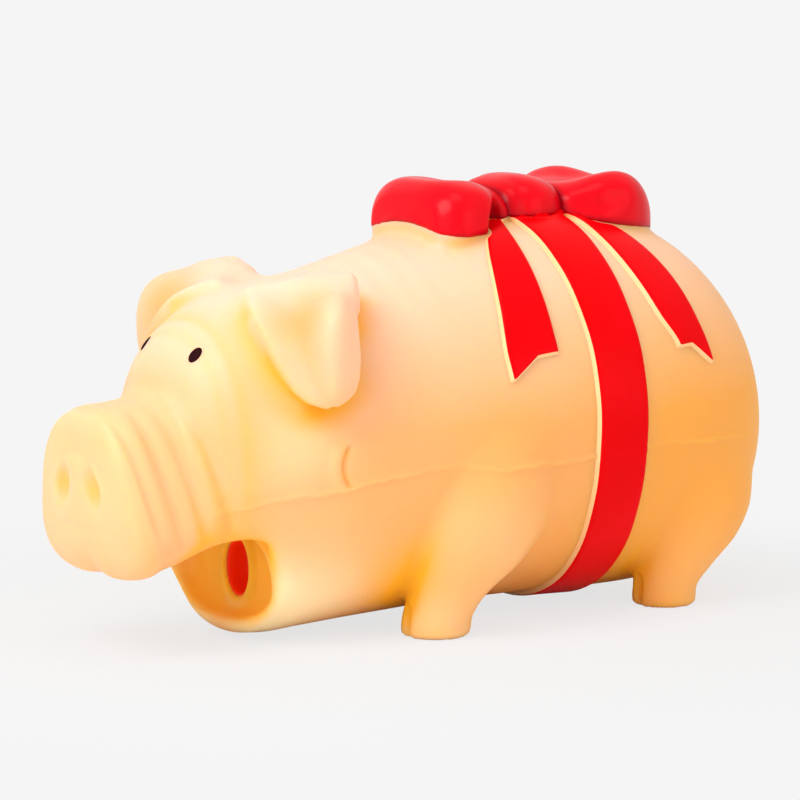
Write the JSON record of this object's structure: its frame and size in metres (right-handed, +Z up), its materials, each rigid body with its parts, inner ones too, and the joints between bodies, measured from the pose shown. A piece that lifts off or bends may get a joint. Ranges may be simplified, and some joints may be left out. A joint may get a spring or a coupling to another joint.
{
  "type": "pig chew toy",
  "caption": "Squeezable pig dog toy: hollow latex skin with open mouth, red ribbon and bow, wadding and a bellows grunter inside.",
  "frame": {"origin": "bottom centre of the bounding box, on the ground under the belly", "axes": "+Z up; the pig looks along -Y; +X is the pig's left side, the side seen in the picture"},
  "size_m": [0.0912, 0.19, 0.1052],
  "materials": {
    "latex": "satin natural latex, peach yellow",
    "red_coat": "glossy red latex",
    "eye_coat": "matt dark brown paint",
    "wadding": "white polyester fibre",
    "grunter_plastic": "moulded off-white",
    "bellows_plastic": "blown soft polyethylene",
    "reed_strip": "thin springy strip"
  },
  "bodies": {
    "toy": {"latex_skin": "latex", "filling_port_patch": "latex", "throat_liner": "red_coat", "eye_left": "eye_coat", "eye_right": "eye_coat", "ribbon_band": "red_coat", "ribbon_tail_front_left": "red_coat", "ribbon_tail_front_right": "red_coat", "ribbon_tail_rear_left": "red_coat", "ribbon_tail_rear_right": "red_coat", "bow_knot": "red_coat", "bow_loop_front": "red_coat", "bow_loop_rear": "red_coat", "body_wadding": "wadding", "head_wadding": "wadding", "voice_housing": "grunter_plastic", "reed_block": "grunter_plastic", "reed_clip": "grunter_plastic", "grunter_bellows": "bellows_plastic"},
    "grunter_end": {"grunter_end_cap": "grunter_plastic"},
    "reed_tongue": {"reed": "reed_strip"}
  },
  "joints": [
    {"name": "bellows_squeeze", "type": "slide", "parent": "toy", "child": "grunter_end", "axis": [0, -0.9511, -0.309], "range_m": [0, 0.016], "stiffness_N_per_m": 60, "deforming": ["grunter_bellows"]},
    {"name": "reed_flutter", "type": "hinge", "parent": "toy", "child": "reed_tongue", "pos_m": [0, -0.02969, 0.01673], "axis": [-1, 0, 0], "range_deg": [0, 5], "stiffness_Nm_per_rad": 0.005}
  ]
}
